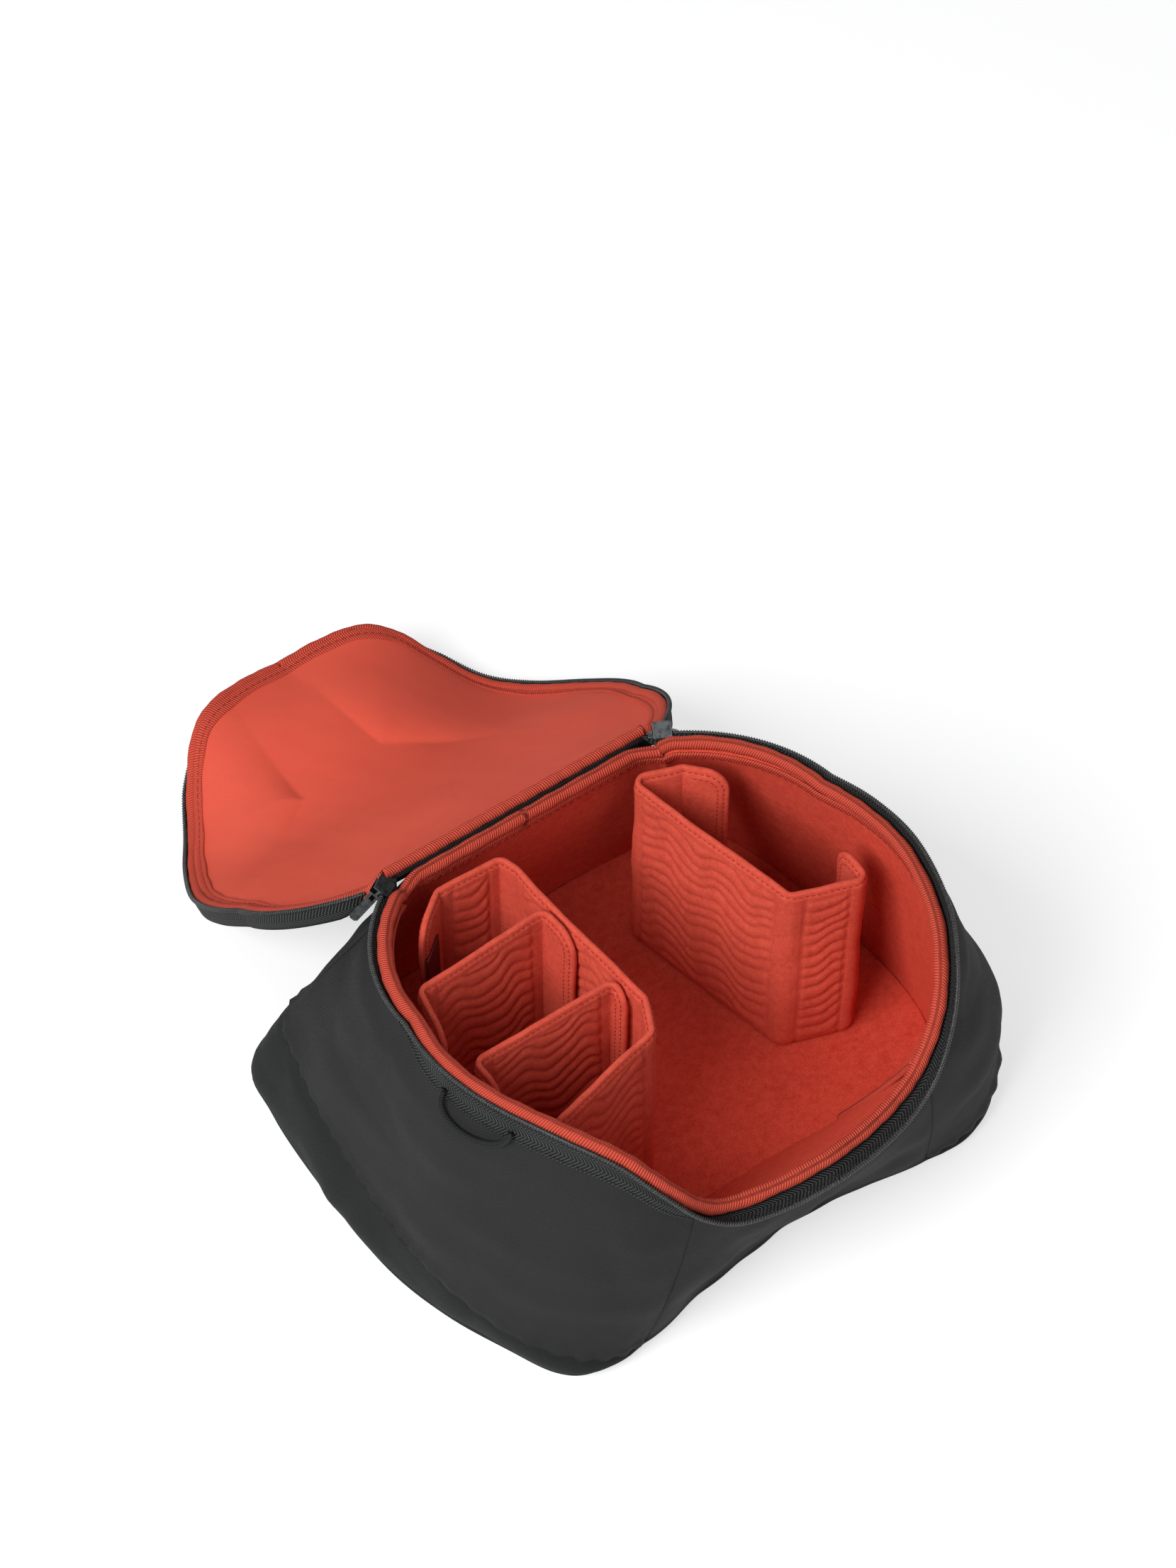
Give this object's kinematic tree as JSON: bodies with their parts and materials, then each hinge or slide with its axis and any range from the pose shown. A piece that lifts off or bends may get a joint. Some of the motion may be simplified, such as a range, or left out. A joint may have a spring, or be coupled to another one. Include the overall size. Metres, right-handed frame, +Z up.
{
  "type": "camera bag insert",
  "caption": "Padded, zip-topped camera bag insert, open, with a lid thrown back on a sewn hinge and loose padded dividers in a red lined body.",
  "frame": {"origin": "on the ground, under the middle of the flat base", "axes": "+Z up, the hinge along X at the back (+Y), the front of the bag faces -Y, the side loop is on -X"},
  "size_m": [0.3427, 0.5051, 0.1702],
  "materials": {
    "shell_cloth": "matt black coated nylon weave",
    "base_cloth": "matt darker black nylon weave",
    "zip_tape": "black herringbone zip tape",
    "zip_coil": "black nylon coil",
    "red_lining": "smooth red knit lining",
    "red_fleece": "brushed red fleece over foam",
    "red_binding": "ribbed red grosgrain tape",
    "red_quilt": "wave-quilted red fleece over foam",
    "red_hook": "dark red hook tape",
    "slider_metal": "satin grey plated metal"
  },
  "bodies": {
    "insert_body": {"base_panel": "base_cloth", "base_gusset": "base_cloth", "floor_pad": "red_fleece", "rear_panel": "shell_cloth", "right_panel": "shell_cloth", "left_panel": "shell_cloth", "front_panel": "shell_cloth", "rear_wall_pad": "red_fleece", "right_wall_pad": "red_fleece", "front_wall_pad": "red_fleece", "left_wall_pad": "red_fleece", "rim_binding": "red_binding", "right_corner_binding": "red_binding", "left_corner_binding": "red_binding", "body_zip_tape": "zip_tape", "body_zip_coil": "zip_coil", "right_zip_stop": "slider_metal", "left_zip_stop": "slider_metal", "hinge_fold": "shell_cloth", "side_loop": "zip_tape"},
    "lid": {"lid_lining": "red_lining", "lid_shell": "shell_cloth", "lid_binding": "red_binding", "lid_hinge_binding": "red_binding", "lid_zip_tape": "zip_tape", "lid_zip_coil": "zip_coil", "lid_hinge_strip": "shell_cloth"},
    "left_slider": {"left_slider": "slider_metal"},
    "left_pull": {"left_pull": "slider_metal"},
    "right_slider": {"right_slider": "slider_metal"},
    "right_pull": {"right_pull": "slider_metal"},
    "left_divider": {"left_divider": "red_quilt", "left_first_hook": "red_hook", "left_second_hook": "red_hook"},
    "rear_cross_divider": {"rear_cross_divider": "red_quilt"},
    "front_cross_divider": {"front_cross_divider": "red_quilt"},
    "right_divider": {"right_divider": "red_quilt"}
  },
  "joints": [
    {"name": "lid_hinge", "type": "hinge", "parent": "insert_body", "child": "lid", "pos_m": [0, 0.092, 0.14], "axis": [1, 0, 0], "range_deg": [0, 208.5]},
    {"name": "right_slider_run", "type": "hinge", "parent": "insert_body", "child": "right_slider", "pos_m": [0.03, 0.00421, 0.15406], "axis": [0, 0.1582, 0.9874], "range_deg": [-50, 0]},
    {"name": "left_slider_run", "type": "hinge", "parent": "insert_body", "child": "left_slider", "pos_m": [-0.03, 0.00421, 0.15406], "axis": [0, -0.1582, -0.9874], "range_deg": [-50, 0]},
    {"name": "right_pull_swing", "type": "hinge", "parent": "right_slider", "child": "right_pull", "pos_m": [0.08976, 0.0901, 0.1386], "axis": [-0.4232, -0.7149, -0.5566], "range_deg": [0, 70]},
    {"name": "left_pull_swing", "type": "hinge", "parent": "left_slider", "child": "left_pull", "pos_m": [-0.08976, 0.0901, 0.1386], "axis": [-0.4232, 0.7149, 0.5566], "range_deg": [0, 70]},
    {"name": "left_divider_lift", "type": "slide", "parent": "insert_body", "child": "left_divider", "axis": [0, 0, -1], "range_m": [-0.13, 0]},
    {"name": "rear_cross_lift", "type": "slide", "parent": "insert_body", "child": "rear_cross_divider", "axis": [0, 0, -1], "range_m": [-0.13, 0]},
    {"name": "front_cross_lift", "type": "slide", "parent": "insert_body", "child": "front_cross_divider", "axis": [0, 0, -1], "range_m": [-0.13, 0]},
    {"name": "right_divider_lift", "type": "slide", "parent": "insert_body", "child": "right_divider", "axis": [0, 0, -1], "range_m": [-0.13, 0]}
  ]
}
